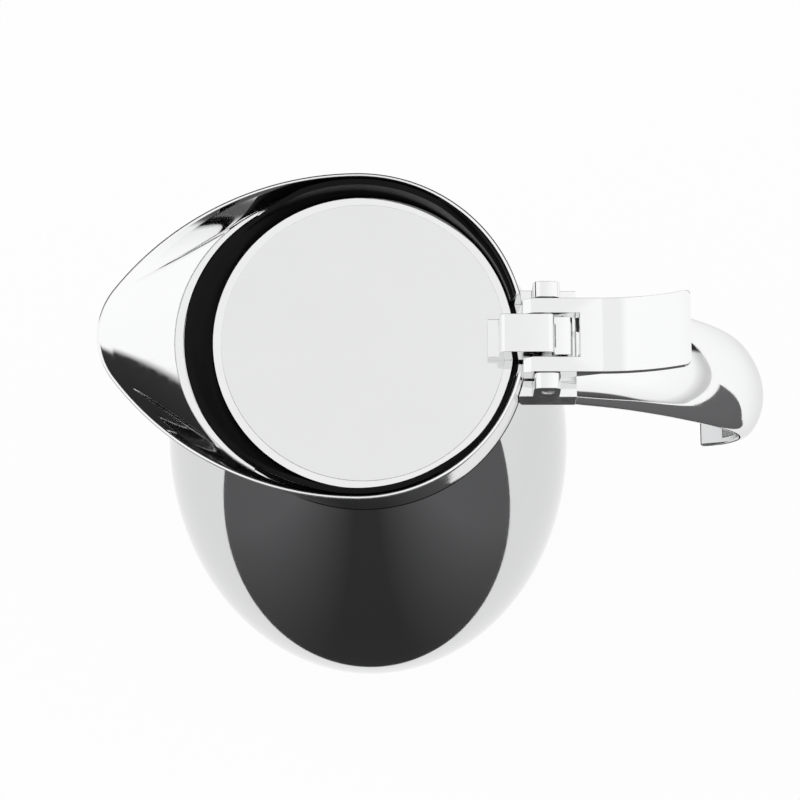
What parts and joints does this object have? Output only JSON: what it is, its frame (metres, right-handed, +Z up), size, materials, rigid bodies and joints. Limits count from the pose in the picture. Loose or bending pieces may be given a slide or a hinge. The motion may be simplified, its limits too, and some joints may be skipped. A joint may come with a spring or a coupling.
{
  "type": "thermal carafe",
  "caption": "Polished egg-shaped thermal carafe with a beaked spout collar, a hinged lid raised by a thumb lever, and a hooked handle with a free end.",
  "frame": {"origin": "middle of the foot pad's underside, on the table", "axes": "+Z up, +X towards the handle, -X towards the spout"},
  "size_m": [0.1818, 0.122, 0.2536],
  "materials": {
    "polished_body": "mirror polished stainless steel",
    "chrome": "bright chrome plate",
    "lid_plate": "satin steel plate",
    "black_plastic": "glossy black moulding",
    "grey_plastic": "fine matt moulding",
    "silicone": "soft translucent grey",
    "rubber": "matt black",
    "foam": "rigid foam",
    "flask_glass": "silvered glass",
    "steel": "bright steel"
  },
  "bodies": {
    "lever": {"thumb_lever": "chrome", "hinge_pin": "steel"},
    "lid": {"lid_cap": "chrome", "lid_disc": "lid_plate", "lid_core": "black_plastic", "lid_insulation": "foam", "lid_gasket": "silicone", "lid_arm": "chrome", "lid_arm_screws": "steel"},
    "jug": {"outer_shell": "polished_body", "pour_ring": "black_plastic", "base_ring": "black_plastic", "base_plug": "black_plastic", "handle_cover": "grey_plastic", "neck_seal": "silicone", "flask_cushion": "rubber", "foot_pad": "rubber", "flask_spacers": "rubber", "flask_outer": "flask_glass", "flask_inner": "flask_glass", "return_spring": "steel", "handle_screws": "steel", "bracket_screws": "steel", "spout_collar": "chrome", "spout_trim": "chrome", "hinge_bracket": "chrome", "handle_shell": "chrome"}
  },
  "joints": [
    {"name": "lever_press", "type": "hinge", "parent": "jug", "child": "lever", "pos_m": [0.0483, 0, 0.2403], "axis": [0, 1, 0], "range_deg": [0, 24], "stiffness_Nm_per_rad": 0.08, "springref_deg": -20.05, "deforming": ["return_spring"]},
    {"name": "lid_hinge", "type": "hinge", "parent": "lever", "child": "lid", "pos_m": [0.0483, 0, 0.2403], "axis": [0, 1, 0], "range_deg": [0, 70], "stiffness_Nm_per_rad": 0.03, "springref_deg": -20.05, "deforming": ["return_spring"]}
  ]
}
